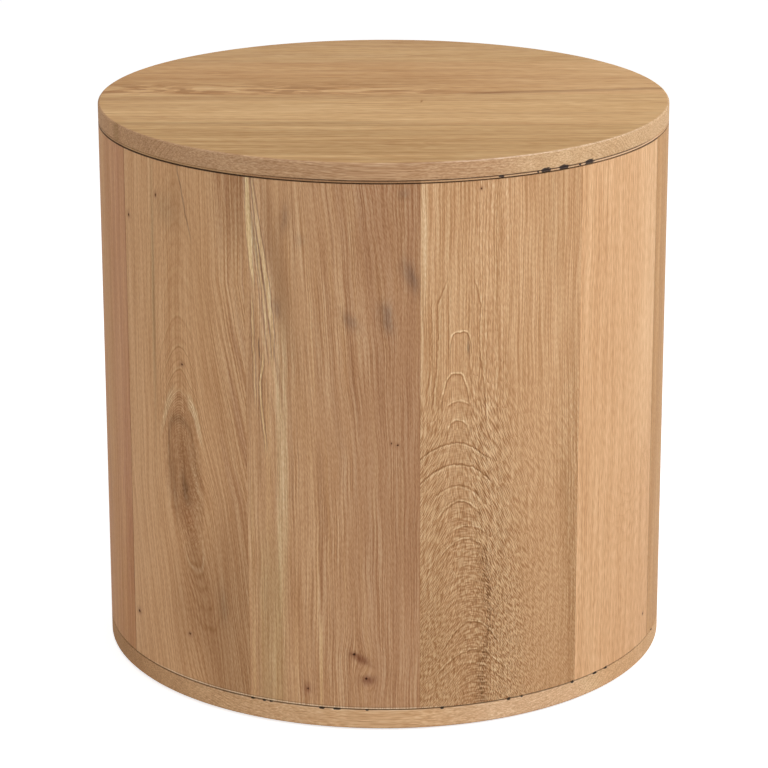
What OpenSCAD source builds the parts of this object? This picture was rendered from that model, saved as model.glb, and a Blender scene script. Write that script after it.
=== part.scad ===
/* [Drum] */
// Diameter of the drum, the same at the top, the wall and the base
drum_d = 560; // [520:10:620]
// Height from the floor to the top face
drum_h = 552; // [500:1:640]
// Thickness of the edge-glued top
top_t = 16.5; // [16:0.5:24]
// Thickness of the edge-glued base
base_t = 19; // [18:1:26]
// Height of the thin ring of leaf ends that stays under the top
lip_h = 1.9; // [1.6:0.1:4]
// Height of the saw-cut groove between that ring and the wall
kerf_h = 1.2; // [1:0.1:2]
// Height of the joint line between the wall and the base
seam_h = 1.2; // [1:0.1:2]
// How far the glides hold the base off the floor
glide_drop = 2; // [1.5:0.5:4]

/* [Wall] */
// Thickness of the bent plywood behind the oak leaves
core_t = 18; // [16:1:20]
// Thickness of a sawn oak leaf
leaf_t = 3; // [2:0.5:4]
// Angle that one whole leaf covers
leaf_turn = 34; // [33:0.5:34]

/* [Door] */
// Angle of the door's hinge edge, from the front towards the right
door_left = -61.2; // [-63:0.1:-60]
// Angle of the door's closing edge, from the front towards the right
door_right = 69; // [68:0.5:71]
// Angle from the hinge edge to the pivot
pivot_turn = 12.5; // [12:0.5:13]
// Gap at the door's upright edges
door_gap = 0.6; // [0.5:0.1:1]
// Diameter of the steel pivot pins
pin_d = 8; // [6:1:9]

/* [Inside] */
// Thickness of the plywood panels
panel_t = 18; // [15:1:20]
// Height of the shelf's upper face above the floor
shelf_z = 288; // [250:1:320]
// Depth of the space in front of the shelf, from the centre line
shelf_front = 112; // [100:1:115]
// Free movement round the shelf and behind the door
panel_gap = 1.5; // [1:0.5:2]

/* [Hidden] */
$fn = 96;

// Radii of the wall's three surfaces
outer_r = drum_d / 2;
core_r = outer_r - leaf_t;
inner_r = core_r - core_t;
mid_r = (outer_r + inner_r) / 2;

// Heights, from the floor up
base_low = glide_drop;
base_high = base_low + base_t;
wall_low = base_high + seam_h;
top_low = drum_h - top_t;
lip_low = top_low - lip_h;
wall_high = lip_low - kerf_h;
deck_high = base_high + panel_t;
sub_low = top_low - panel_t;
shelf_low = shelf_z - panel_t;

// Joints between the boards, as distances from the centre line towards the back
top_joints = [160, 6, -126];
base_joints = [118, 12, -112];

// Softened edges of the boards
top_round = 1.8;
under_arris = 0.5;
base_arris = 1.6;

// The pivot's place, and the arcs about it that the door's heel and its jamb are shaped to
pivot_at = plan(door_left + pivot_turn, mid_r);
heel_corner = norm(plan(door_left, outer_r) - pivot_at);
heel_r = heel_corner - door_gap / 2;
jamb_r = heel_corner + door_gap / 2;
scallop_r = heel_r + panel_gap;
closing_half = round(1000 * asin(door_gap / 2 / outer_r)) / 1000;

// Widths of the solid oak pieces, as angles
hinge_stile_turn = 20;
closing_stile_turn = 7;
jamb_turn = 4;

// Pivot fittings
pin_bite = 25;
pin_reach = 9;
bush_r = 6;
bush_h = 12;
flange_r = 8;
flange_h = 1;
running_gap = 0.05;
seat_gap = 0.02;
washer_r = 8;

// Stop rail behind the closing edge
rail_from = 65;
rail_to = 76;
rail_t = 18;
rail_screw_turn = 71.2;
rail_screw_zs = [90, 278, 466];
catch_turn = 67;
catch_zs = [130, 426];
magnet_r = 5;
magnet_h = 7;
magnet_proud = 0.9;
strike_r = 7;
strike_t = 1.6;
pad_zs = [70, 278, 486];
pad_turn = 2;
pad_h = 12;
pad_t = 1.2;

// Screws
screw_r = 2;
screw_head_r = 4;
screw_l = 30;
screw_ring = 205;
screw_turns = [for (i = [0 : 7]) 22.5 + 45 * i];
glide_ring = 225;
glide_turns = [45, 135, 225, 315];
glide_r = 16;
glide_sunk = 3;
glide_chamfer = 0.8;
glide_screw_l = 16;
glide_head_up = 1;

// Shelf supports
shelf_pin_turns = [82, 150, 210, 278];
shelf_pin_r = 3;
shelf_pin_bite = 10;
shelf_pin_reach = 12;
shelf_edge_t = 6;

// Colours
oak_tan = [0.78, 0.64, 0.46];
oak_pale = [0.85, 0.71, 0.54];
oak_brown = [0.70, 0.55, 0.40];
oak_pink = [0.74, 0.57, 0.44];
oak_grey = [0.66, 0.55, 0.43];
ply_tan = [0.80, 0.68, 0.52];
steel = [0.62, 0.63, 0.65];
brass = [0.75, 0.62, 0.34];
nylon = [0.26, 0.22, 0.19];
felt = [0.42, 0.38, 0.34];

// Point on the plan at an angle from the front, turning towards the right, and at a radius
function plan(turn, radius) = [radius * sin(turn), -radius * cos(turn)];

// Curved slab between two angles, two radii and two heights
module arc_slab(from, to, r_in, r_out, low, high) {
    rotate([0, 0, from - 90])
        rotate_extrude(angle = to - from)
            translate([r_in, low]) square([r_out - r_in, high - low]);
}

// Upright rod at a place on the plan
module post(at, r, low, high) {
    translate([at[0], at[1], low]) cylinder(r = r, h = high - low);
}

// Rod that points outwards from the drum's axis
module radial_rod(turn, z, r, from_r, to_r) {
    rotate([0, 0, turn - 90]) translate([from_r, 0, z])
        rotate([0, 90, 0]) cylinder(r = r, h = to_r - from_r);
}

// Countersunk screw pointing up, with its head's face at the origin
module screw_up(length, r, head_r) {
    rotate_extrude() polygon([[0, 0], [head_r, 0], [head_r, 0.4], [r, head_r - r + 0.4],
                              [r, length - r], [0.4, length], [0, length]]);
}

// Hole that takes the same screw
module screw_hole(length, r, head_r) {
    rotate_extrude() polygon([[0, -1], [head_r + seat_gap, -1], [head_r + seat_gap, 0.4 + seat_gap],
                              [r + seat_gap, head_r - r + 0.4 + seat_gap],
                              [r + seat_gap, length + 0.5], [0, length + 0.5]]);
}

// The waste on the far side of the pivot, outside the heel's arc
module heel_waste() {
    difference() {
        arc_slab(door_left - 6, door_left + pivot_turn, inner_r - 2, outer_r + 2, wall_low - 1, wall_high + 1);
        post(pivot_at, heel_r, wall_low - 2, wall_high + 2);
    }
}

// The room that the door's heel needs in the fixed pieces beside it
module jamb_hollow() {
    post(pivot_at, jamb_r, 0, drum_h);
}

// Places of the screws under the top and under the base
module at_screws(z) {
    for (turn = screw_turns) translate([plan(turn, screw_ring)[0], plan(turn, screw_ring)[1], z]) children();
}

// Places of the glides
module at_glides(z) {
    for (turn = glide_turns) translate([plan(turn, glide_ring)[0], plan(turn, glide_ring)[1], z]) children();
}

// Whole top disc with a rounded upper edge and a small arris under it
module top_disc() {
    rotate_extrude(angle = 360)
        polygon(concat([[0, top_low], [outer_r - under_arris, top_low], [outer_r, top_low + under_arris]],
                       [for (a = [0 : 22.5 : 90])
                           [outer_r - top_round + top_round * cos(a), drum_h - top_round + top_round * sin(a)]],
                       [[0, drum_h]]));
}

// One board of the top between two joints, drilled for its screws and the pivot's bush
module top_board(back, front) {
    difference() {
        intersection() {
            top_disc();
            translate([-outer_r - 1, front, top_low - 1]) cube([drum_d + 2, back - front, top_t + 2]);
        }
        at_screws(sub_low) screw_hole(screw_l, screw_r, screw_head_r);
        post(pivot_at, bush_r + seat_gap, top_low - 1, lip_low + bush_h + seat_gap);
    }
}

module top_board_back() { color(oak_pale) top_board(outer_r + 1, top_joints[0]); }

module top_board_back_middle() { color(oak_brown) top_board(top_joints[0], top_joints[1]); }

module top_board_front_middle() { color(oak_tan) top_board(top_joints[1], top_joints[2]); }

module top_board_front() { color(oak_grey) top_board(top_joints[2], -outer_r - 1); }

// Thin ring under the top that carries the ends of the leaves right round
module lip_ring() {
    color(oak_tan) difference() {
        rotate_extrude(angle = 360)
            polygon([[inner_r, lip_low], [outer_r, lip_low], [outer_r, top_low - under_arris],
                     [outer_r - under_arris, top_low], [inner_r, top_low]]);
        post(pivot_at, bush_r + seat_gap, lip_low - 1, top_low + 1);
        post(pivot_at, flange_r + seat_gap, lip_low - 1, lip_low + flange_h + seat_gap);
    }
}

// Round plywood panel, cut back behind the door and scalloped for its heel
module round_panel(low, high) {
    difference() {
        translate([0, 0, low]) cylinder(r = inner_r, h = high - low);
        arc_slab(door_left - 0.4, door_right + 0.4, inner_r - panel_gap, inner_r + 5, low - 1, high + 1);
        post(pivot_at, scallop_r, low - 1, high + 1);
    }
}

module sub_top() {
    color(ply_tan) difference() {
        round_panel(sub_low, top_low);
        at_screws(sub_low) screw_hole(screw_l, screw_r, screw_head_r);
    }
}

module inner_deck() {
    color(ply_tan) difference() {
        round_panel(base_high, deck_high);
        at_screws(base_low) screw_hole(screw_l + 2, screw_r, screw_head_r);
    }
}

module top_screws() { color(steel) at_screws(sub_low) screw_up(screw_l, screw_r, screw_head_r); }

module base_screws() { color(steel) at_screws(base_low) screw_up(screw_l + 2, screw_r, screw_head_r); }

// Whole base disc with a broader arris at the floor
module base_disc() {
    rotate_extrude(angle = 360)
        polygon([[0, base_low], [outer_r - base_arris, base_low], [outer_r, base_low + base_arris],
                 [outer_r, base_high - under_arris], [outer_r - under_arris, base_high], [0, base_high]]);
}

// One board of the base between two joints
module base_board(back, front) {
    difference() {
        intersection() {
            base_disc();
            translate([-outer_r - 1, front, 0]) cube([drum_d + 2, back - front, base_high + 1]);
        }
        at_screws(base_low) screw_hole(screw_l + 2, screw_r, screw_head_r);
        at_glides(-1) cylinder(r = glide_r + seat_gap, h = base_low + glide_sunk + 1 + seat_gap);
        at_glides(glide_head_up) screw_hole(glide_screw_l, screw_r - 0.2, screw_head_r - 0.5);
        post(pivot_at, bush_r + seat_gap, base_high - bush_h - seat_gap, base_high + 1);
        post(pivot_at, flange_r + seat_gap, base_high - flange_h - seat_gap, base_high + 1);
    }
}

module base_board_back() { color(oak_pale) base_board(outer_r + 1, base_joints[0]); }

module base_board_back_middle() { color(oak_tan) base_board(base_joints[0], base_joints[1]); }

module base_board_front_middle() { color(oak_brown) base_board(base_joints[1], base_joints[2]); }

module base_board_front() { color(oak_tan) base_board(base_joints[2], -outer_r - 1); }

// Hard discs let into the base, which stand on the floor
module glides() {
    color(nylon) at_glides(0) difference() {
        rotate_extrude(angle = 360)
            polygon([[0, 0], [glide_r - glide_chamfer, 0], [glide_r, glide_chamfer],
                     [glide_r, glide_drop + glide_sunk], [0, glide_drop + glide_sunk]]);
        translate([0, 0, glide_head_up]) screw_hole(glide_screw_l, screw_r - 0.2, screw_head_r - 0.5);
    }
}

module glide_screws() {
    color(steel) at_glides(glide_head_up) screw_up(glide_screw_l, screw_r - 0.2, screw_head_r - 0.5);
}

// Bent plywood behind the fixed leaves, drilled for the shelf pins and the rail's screws
module shell_core() {
    color(ply_tan) difference() {
        arc_slab(door_right + closing_half + jamb_turn, 360 + door_left - jamb_turn, inner_r, core_r,
                 base_high, lip_low);
        for (turn = shelf_pin_turns)
            radial_rod(turn, shelf_low - shelf_pin_r, shelf_pin_r + seat_gap,
                       inner_r - 1, inner_r + shelf_pin_bite + seat_gap);
    }
}

// One fixed oak leaf, counted from the hinge edge round the back to the closing edge
module shell_leaf(i) {
    from = max(door_left - leaf_turn * i, door_right + closing_half - 360);
    to = door_left - leaf_turn * (i - 1) + (i == 1 ? 1 : 0);
    difference() {
        arc_slab(from, to, core_r, outer_r, wall_low, wall_high);
        if (i == 1) jamb_hollow();
    }
}

module shell_leaf_1() { color(oak_pink) shell_leaf(1); }

module shell_leaf_2() { color(oak_brown) shell_leaf(2); }

module shell_leaf_3() { color(oak_tan) shell_leaf(3); }

module shell_leaf_4() { color(oak_pale) shell_leaf(4); }

module shell_leaf_5() { color(oak_tan) shell_leaf(5); }

module shell_leaf_6() { color(oak_brown) shell_leaf(6); }

module shell_leaf_7() { color(oak_tan) shell_leaf(7); }

// Solid oak post at the hinge edge, hollowed to the arc that the heel turns on
module hinge_jamb() {
    color(oak_pale) difference() {
        arc_slab(door_left - jamb_turn, door_left + 1, inner_r, core_r, base_high, lip_low);
        jamb_hollow();
    }
}

// Solid oak post at the closing edge, drilled for the rail's screws
module closing_jamb() {
    color(oak_pale) difference() {
        arc_slab(door_right + closing_half, door_right + closing_half + jamb_turn, inner_r, core_r,
                 base_high, lip_low);
        rail_screw_holes();
    }
}

// Holes for the screws that hold the stop rail
module rail_screw_holes() {
    for (z = rail_screw_zs) rotate([0, 0, rail_screw_turn - 90]) translate([inner_r - rail_t, 0, z])
        rotate([0, 90, 0]) screw_hole(screw_l, screw_r, screw_head_r);
}

module rail_screws() {
    color(steel) for (z = rail_screw_zs) rotate([0, 0, rail_screw_turn - 90]) translate([inner_r - rail_t, 0, z])
        rotate([0, 90, 0]) screw_up(screw_l, screw_r, screw_head_r);
}

// Upright rail that laps behind the closing edge and stops the door
module stop_rail() {
    color(oak_pale) difference() {
        arc_slab(rail_from, rail_to, inner_r - rail_t, inner_r, deck_high, sub_low);
        arc_slab(rail_from - 1, door_right + closing_half, inner_r - panel_gap, inner_r + 1, 0, drum_h);
        for (z = catch_zs)
            radial_rod(catch_turn, z, magnet_r + seat_gap,
                       inner_r - panel_gap + magnet_proud - magnet_h - seat_gap, inner_r);
        rail_screw_holes();
    }
}

// Round magnets let into the rail
module catch_magnets() {
    color(steel) for (z = catch_zs)
        radial_rod(catch_turn, z, magnet_r, inner_r - panel_gap + magnet_proud - magnet_h,
                   inner_r - panel_gap + magnet_proud);
}

// Felt pads on the rail that the closed door rests against
module bumper_pads() {
    color(felt) for (z = pad_zs)
        arc_slab(catch_turn - pad_turn / 2, catch_turn + pad_turn / 2,
                 inner_r - panel_gap, inner_r - panel_gap + pad_t, z - pad_h / 2, z + pad_h / 2);
}

// The shelf's outline, clear of the wall and the stop rail, between two distances from the centre line
module shelf_slab(front, back) {
    intersection() {
        difference() {
            translate([0, 0, shelf_low]) cylinder(r = inner_r - panel_gap, h = panel_t);
            arc_slab(rail_from - 12, rail_to + 1, inner_r - rail_t - panel_gap, outer_r,
                     shelf_low - 1, shelf_z + 1);
        }
        translate([-outer_r, front, shelf_low - 1]) cube([drum_d, back - front, panel_t + 2]);
    }
}

module shelf() { color(ply_tan) shelf_slab(-shelf_front + shelf_edge_t, outer_r); }

// Solid oak strip along the shelf's front edge
module shelf_edge() { color(oak_pale) shelf_slab(-shelf_front, -shelf_front + shelf_edge_t); }

// Round pins in the wall that the shelf lies on
module shelf_pins() {
    color(steel) for (turn = shelf_pin_turns)
        radial_rod(turn, shelf_low - shelf_pin_r, shelf_pin_r,
                   inner_r - shelf_pin_reach, inner_r + shelf_pin_bite);
}

// Flanged bush, with its flange's face at the origin and its barrel pointing up
module bush() {
    rotate_extrude(angle = 360)
        polygon([[pin_d / 2 + running_gap, 0], [flange_r, 0], [flange_r, flange_h], [bush_r, flange_h],
                 [bush_r, bush_h], [pin_d / 2 + running_gap, bush_h]]);
}

module upper_bush() { color(brass) translate([pivot_at[0], pivot_at[1], lip_low]) bush(); }

module lower_bush() {
    color(brass) translate([pivot_at[0], pivot_at[1], base_high]) mirror([0, 0, 1]) bush();
}

// Washer under the door's heel that carries its weight
module thrust_washer() {
    color(brass) difference() {
        post(pivot_at, washer_r, base_high, wall_low - running_gap);
        post(pivot_at, pin_d / 2 + running_gap, base_high - 1, wall_low + 1);
    }
}

// Steel pin with chamfered ends
module pivot_pin(low, high) {
    translate([pivot_at[0], pivot_at[1], low]) rotate_extrude(angle = 360)
        polygon([[0, 0], [pin_d / 2 - 1, 0], [pin_d / 2, 1], [pin_d / 2, high - low - 1],
                 [pin_d / 2 - 1, high - low], [0, high - low]]);
}

module upper_pivot_pin() { color(steel) pivot_pin(wall_high - pin_bite, lip_low + pin_reach); }

module lower_pivot_pin() { color(steel) pivot_pin(base_high - pin_reach, wall_low + pin_bite); }

// Bent plywood of the door between its two stiles
module door_core() {
    color(ply_tan) arc_slab(door_left + hinge_stile_turn, door_right - closing_stile_turn, inner_r, core_r,
                            wall_low, wall_high);
}

// Solid oak stile that holds the pivot pins and ends in the round heel
module hinge_stile() {
    color(oak_pale) difference() {
        arc_slab(door_left - 1, door_left + hinge_stile_turn, inner_r, core_r, wall_low, wall_high);
        heel_waste();
        post(pivot_at, pin_d / 2 + seat_gap, wall_high - pin_bite - 0.5, wall_high + 1);
        post(pivot_at, pin_d / 2 + seat_gap, wall_low - 1, wall_low + pin_bite + 0.5);
    }
}

// Solid oak stile at the closing edge, recessed for the strike plates
module closing_stile() {
    color(oak_pale) difference() {
        arc_slab(door_right - closing_stile_turn, door_right - closing_half, inner_r, core_r,
                 wall_low, wall_high);
        for (z = catch_zs) {
            radial_rod(catch_turn, z, strike_r + seat_gap, inner_r - 2, inner_r + strike_t + seat_gap);
            strike_place(z) screw_hole(14, 1.5, 3);
        }
    }
}

// Place of a strike plate's screw, pointing into the closing stile
module strike_place(z) {
    rotate([0, 0, catch_turn - 90]) translate([inner_r, 0, z]) rotate([0, 90, 0]) children();
}

// Steel discs that the magnets hold
module strike_plates() {
    color(steel) for (z = catch_zs) difference() {
        radial_rod(catch_turn, z, strike_r, inner_r, inner_r + strike_t);
        strike_place(z) screw_hole(14, 1.5, 3);
    }
}

module strike_screws() { color(steel) for (z = catch_zs) strike_place(z) screw_up(14, 1.5, 3); }

// One oak leaf of the door, counted from the hinge edge
module door_leaf(i) {
    from = door_left + leaf_turn * (i - 1) - (i == 1 ? 1 : 0);
    to = min(door_left + leaf_turn * i, door_right - closing_half);
    difference() {
        arc_slab(from, to, core_r, outer_r, wall_low, wall_high);
        if (i == 1) heel_waste();
    }
}

module door_leaf_1() { color(oak_brown) door_leaf(1); }

module door_leaf_2() { color(oak_tan) door_leaf(2); }

module door_leaf_3() { color(oak_pale) door_leaf(3); }

module door_leaf_4() { color(oak_pink) door_leaf(4); }

top_board_back();
top_board_back_middle();
top_board_front_middle();
top_board_front();
lip_ring();
sub_top();
top_screws();
base_board_back();
base_board_back_middle();
base_board_front_middle();
base_board_front();
inner_deck();
base_screws();
glides();
glide_screws();
shell_core();
shell_leaf_1();
shell_leaf_2();
shell_leaf_3();
shell_leaf_4();
shell_leaf_5();
shell_leaf_6();
shell_leaf_7();
hinge_jamb();
closing_jamb();
stop_rail();
rail_screws();
bumper_pads();
catch_magnets();
shelf();
shelf_edge();
shelf_pins();
upper_bush();
lower_bush();
thrust_washer();
door_core();
hinge_stile();
closing_stile();
door_leaf_1();
door_leaf_2();
door_leaf_3();
door_leaf_4();
upper_pivot_pin();
lower_pivot_pin();
strike_plates();
strike_screws();
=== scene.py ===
import math

import bmesh
import bpy
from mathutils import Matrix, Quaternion, Vector

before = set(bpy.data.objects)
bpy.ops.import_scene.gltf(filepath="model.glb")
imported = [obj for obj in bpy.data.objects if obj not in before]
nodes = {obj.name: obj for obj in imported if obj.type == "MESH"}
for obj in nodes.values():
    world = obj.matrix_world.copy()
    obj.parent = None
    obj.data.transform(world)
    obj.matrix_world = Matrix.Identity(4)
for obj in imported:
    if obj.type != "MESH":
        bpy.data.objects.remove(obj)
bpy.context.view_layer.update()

# The drum, in millimetres, as the CAD source has it
DRUM_R = 280
WALL_LOW, WALL_HIGH = 22.2, 532.4
LIP_LOW, TOP_LOW, DRUM_H = 533.6, 535.5, 552
BASE_HIGH, SHELF_LOW, SUB_TOP_LOW = 21, 270, 517.5
LEAF_TURN = 34
DOOR_LEFT, DOOR_RIGHT = -61.2, 69
MM_PER_DEG = DRUM_R * math.pi / 180
DRUM_M = DRUM_R / 1000

# The stage: the floor's radius in metres, its grey and its glow, and the world's grey and its light
FLOOR_RADIUS, FLOOR_GREY, FLOOR_GLOW = 12, 0.8, 0.72
WORLD_GREY, WORLD_LIGHT = 0.97, 0.28


# ---------------------------------------------------------------- material maths

class Num:
    """What a node gives: a number, a colour or a place. Python's arithmetic on it adds Math nodes."""

    def __init__(self, paint, socket):
        self.paint, self.socket = paint, socket

    def __add__(self, other):
        return self.paint.math("ADD", self, other)

    __radd__ = __add__

    def __sub__(self, other):
        return self.paint.math("SUBTRACT", self, other)

    def __rsub__(self, other):
        return self.paint.math("SUBTRACT", other, self)

    def __mul__(self, other):
        return self.paint.math("MULTIPLY", self, other)

    __rmul__ = __mul__

    def __truediv__(self, other):
        return self.paint.math("DIVIDE", self, other)


class Paint:
    """A world, or a new material by name, that is being built out of nodes, with lengths in millimetres."""

    def __init__(self, owner):
        self.owner = bpy.data.materials.new(owner) if isinstance(owner, str) else owner
        self.owner.use_nodes = True
        self.tree = self.owner.node_tree
        self.tree.nodes.clear()

    def node(self, kind, inputs=(), **settings):
        """A node with its inputs, by name or by number."""
        made = self.tree.nodes.new(kind)
        for key, value in settings.items():
            setattr(made, key, value)
        for key, value in dict(inputs).items():
            if isinstance(value, Num):
                self.tree.links.new(value.socket, made.inputs[key])
            else:
                made.inputs[key].default_value = value
        return made

    def num(self, kind, inputs=(), out=0, **settings):
        """What a node gives."""
        return Num(self, self.node(kind, inputs, **settings).outputs[out])

    def math(self, operation, *values):
        return self.num("ShaderNodeMath", enumerate(values), operation=operation)

    def power(self, x, n):
        return self.math("POWER", x, n)

    def sqrt(self, x):
        return self.math("SQRT", x)

    def abs(self, x):
        return self.math("ABSOLUTE", x)

    def fract(self, x):
        return self.math("FRACT", x)

    def low(self, a, b):
        return self.math("MINIMUM", a, b)

    def high(self, a, b):
        return self.math("MAXIMUM", a, b)

    def bell(self, q):
        """1 where q is 0, falling to 0 as q grows past 1."""
        return self.math("EXPONENT", q * -1)

    def step(self, x, low, high):
        """0 below low and 1 above high, smooth between them. Falls instead where low is above high."""
        falls = low > high
        values = (x, min(low, high), max(low, high), float(falls), float(not falls))
        return self.num("ShaderNodeMapRange", enumerate(values), interpolation_type="SMOOTHSTEP")

    def path(self, x, points):
        """A value that follows straight lines through (x, value) points, and stays level past both ends."""
        xs, ys = zip(*points)
        wide, low, tall = max(xs) - min(xs), min(ys), max(max(ys) - min(ys), 1e-6)
        place = self.low(self.high((x - min(xs)) / wide, 0), 1)
        made = self.node("ShaderNodeFloatCurve", {"Value": place})
        curve = made.mapping.curves[0]
        while len(curve.points) < len(points):
            curve.points.new(0.5, 0.5)
        for point, (at, value) in zip(curve.points, points):
            point.location = ((at - min(xs)) / wide, (value - low) / tall)
            point.handle_type = "VECTOR"
        made.mapping.update()
        return Num(self, made.outputs[0]) * tall + low

    def between(self, x, low, high, soft):
        return self.step(x, low - soft, low + soft) * self.step(x, high + soft, high - soft)

    def vector(self, at):
        return self.num("ShaderNodeCombineXYZ", enumerate(at))

    def noise(self, at, detail=2, rough=0.5, swirl=0):
        """Smooth noise from 0 to 1 about 0.5. One unit of the place is one feature."""
        return self.num("ShaderNodeTexNoise", {"Vector": self.vector(at), "Scale": 1, "Detail": detail,
                                               "Roughness": rough, "Distortion": swirl})

    def mix(self, share, a, b):
        return self.num("ShaderNodeMix", {0: share, 6: a, 7: b}, 2, data_type="RGBA")

    def shade(self, colour, amount):
        """The colour times a number."""
        return self.num("ShaderNodeVectorMath", {0: colour, "Scale": amount}, operation="SCALE")

    def object_place(self, turn=0):
        """x, y and z in millimetres, after a turn about the drum's axis in degrees."""
        place = self.num("ShaderNodeTexCoord", out="Object")
        if turn:
            place = self.num("ShaderNodeVectorRotate", {"Vector": place, "Angle": math.radians(turn)},
                             rotation_type="Z_AXIS")
        split = self.node("ShaderNodeSeparateXYZ", {0: place})
        return [Num(self, socket) * 1000 for socket in split.outputs]

    def wall_place(self, centre):
        """Place on the wall: along it from a centre angle, up from the floor, and outwards from its face."""
        x, y, z = self.object_place(-centre)
        along = self.math("ARCTAN2", x, y * -1) * DRUM_R
        out = self.sqrt(x * x + y * y) - DRUM_R
        return along, z, out

    def done(self, colour, rough, height, bump_mm=0.1, **fixed):
        """Joins colour, roughness and height to the shader. Fixed values go on its own sockets."""
        bump = self.num("ShaderNodeBump", {"Strength": 1, "Distance": bump_mm / 1000, "Height": height})
        inputs = {"Base Color": colour, "Roughness": rough, "Normal": bump}
        inputs.update({key.replace("_", " "): value for key, value in fixed.items()})
        self.node("ShaderNodeOutputMaterial", {0: self.num("ShaderNodeBsdfPrincipled", inputs)})
        return self.owner


def tone(code):
    """Colour of a screen code such as 0xC8A070, as the shader takes it."""
    parts = [(code >> shift & 255) / 255 for shift in (16, 8, 0)]
    return tuple([c / 12.92 if c <= 0.04045 else ((c + 0.055) / 1.055) ** 2.4 for c in parts] + [1])


# ---------------------------------------------------------------- oak

def patch(p, along, up, at, size, lean=0, power=1):
    """Soft spot of 1 at a place, with a half width and a half height in millimetres."""
    across = ((along - at[0]) - (up - at[1]) * lean) / size[0]
    rise = (up - at[1]) / size[1]
    q = across * across + rise * rise
    return p.bell(p.power(q, power) if power != 1 else q)


def line_at(p, value, width):
    """1 where the value is 0, falling off over a width."""
    return p.bell(p.power(value / width, 2))


def grain(p, across, lengthwise, depth, seed, fine=1, dash=0.26):
    """Short fibres, long lines and broad streaks, each from 0 to 1 about 0.5, and pores from 0 to 1."""
    short = p.noise((across * 1.55 * fine + seed, lengthwise * dash + across * 0.83, depth * 1.3), detail=0)
    long = p.noise((across * 0.95 * fine - seed, lengthwise * 0.01 + across * 0.31, depth * 1.1 + seed),
                   detail=1)
    broad = p.noise((across * 0.09 + seed, lengthwise * 0.0022 + seed, depth * 0.11), detail=2)
    pore = p.noise((across * 1.5 * fine - seed, lengthwise * 0.08, depth * 2.2), detail=0)
    return p.step(short, 0.34, 0.66), p.step(long, 0.34, 0.66), broad, p.step(pore, 0.55, 0.7)


def rings(p, count):
    """Darkness of the growth rings: a sharp start, then a slow fade."""
    turn = p.fract(count)
    return p.step(turn, 0.62, 0) * p.step(turn, 0, 0.06)


# The first colour is painted shade in the joint under the top; the others are filler and knots.
JOINT_SHADE, FILLER_DARK, KNOT_BROWN = 0x33231A, 0x2A2426, 0x82523A

# How much of the red, green and blue a dark line takes away, and how that changes as it gets darker
LINE_COLOUR = [(0.75, 0.25), (1.14, -0.18), (1.5, -0.6)]


class Oak:
    """Colour and height of a face of oak, built up layer by layer."""

    def __init__(self, p, pale, dark, grains, weights=(0.2, 0.2, 0.1), streaks=(0.25, 0.75)):
        short, long, broad, pore = grains
        self.p = p
        self.short, self.long = short, long
        self.colour = p.mix(p.step(broad, *streaks), tone(pale), tone(dark))
        self.lines = (short - 0.5) * weights[0] + (long - 0.5) * weights[1]
        self.shade = 1 - self.lines - pore * weights[2]
        self.height = self.lines * -1.6 - pore * 0.5

    def tint(self, share, code):
        self.colour = self.p.mix(share, self.colour, tone(code))

    def darken(self, share, amount, dent=0):
        self.shade = self.shade * (1 - share * amount)
        if dent:
            self.height = self.height - share * dent

    def finish(self, rough=0.58, gloss=0.1):
        """Dark lines are redder than the wood and light ones creamier, and dark ones are rougher too."""
        p = self.p
        loss = 1 - self.shade
        filtered = p.vector([1 - loss * (slope + loss * turn) for slope, turn in LINE_COLOUR])
        colour = p.num("ShaderNodeVectorMath", {0: self.colour, 1: filtered}, operation="MULTIPLY")
        return p.done(colour, rough + loss * 0.25, self.height, Specular_IOR_Level=gloss)


def knots(oak, along, up, centre, spots):
    """Pin knots: a dark core with a brown eye of bent grain round it."""
    p = oak.p
    ragged = p.noise((along * 0.5, up * 0.5, 0), detail=2) - 0.5
    for turn, at_up, size, stretch in spots:
        at = ((turn - centre) * MM_PER_DEG, at_up)
        wide = patch(p, along + ragged * size * 1.6, up + ragged * size * 1.2, at,
                     (size * 2.4, size * 2.4 * stretch))
        core = patch(p, along + ragged * size, up + ragged * size, at, (size, size * stretch), power=2)
        oak.tint(wide * 0.5, KNOT_BROWN)
        oak.darken(core, 0.88, dent=2.5)


def specks(oak, turn, up, line, spots, share=1):
    """Dark filler left in a seam: a ragged blot at each angle, with a half width in degrees."""
    p = oak.p
    ragged = p.noise((turn * 2.4, up * 0.9, 5), detail=2) - 0.5
    for at, wide, tall in spots:
        spot = patch(p, turn + ragged * wide * 1.6, up + ragged * tall, (at, line), (wide, tall), power=2)
        blot = p.step(spot, 0.16, 0.5) * share
        oak.tint(blot * 0.92, FILLER_DARK)
        oak.height = oak.height - blot * 1.5


# Where dark filler sits in the two seams: angle, half width in degrees, half height in millimetres
LOW_SPECKS = [(-26.7, 0.45, 0.9), (-24.2, 0.42, 0.9), (-22.7, 0.3, 0.7), (-12.2, 0.55, 1.3),
              (-9.3, 0.8, 0.9), (-3.4, 0.35, 0.7), (11.2, 0.35, 1.2), (25, 0.35, 1.2), (27.9, 0.25, 0.9),
              (40.3, 0.4, 1.2), (46.9, 0.6, 1.1), (50.4, 0.55, 1), (62.2, 0.4, 1), (73.4, 0.5, 1.2)]
LIP_SPECKS = [(22.4, 0.5, 1.2), (30.1, 0.2, 2), (31.9, 1.05, 2.3), (36.1, 1.1, 2.3), (42.6, 1.15, 2.3),
              (40.1, 0.26, 0.9)]


def seam_edges(oak, along, half):
    """The glued edges of a leaf, a hair darker than the face."""
    p = oak.p
    edge = p.step(p.abs(along), half - 0.55, half - 0.1)
    oak.darken(edge, 0.18, dent=0.6)


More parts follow.
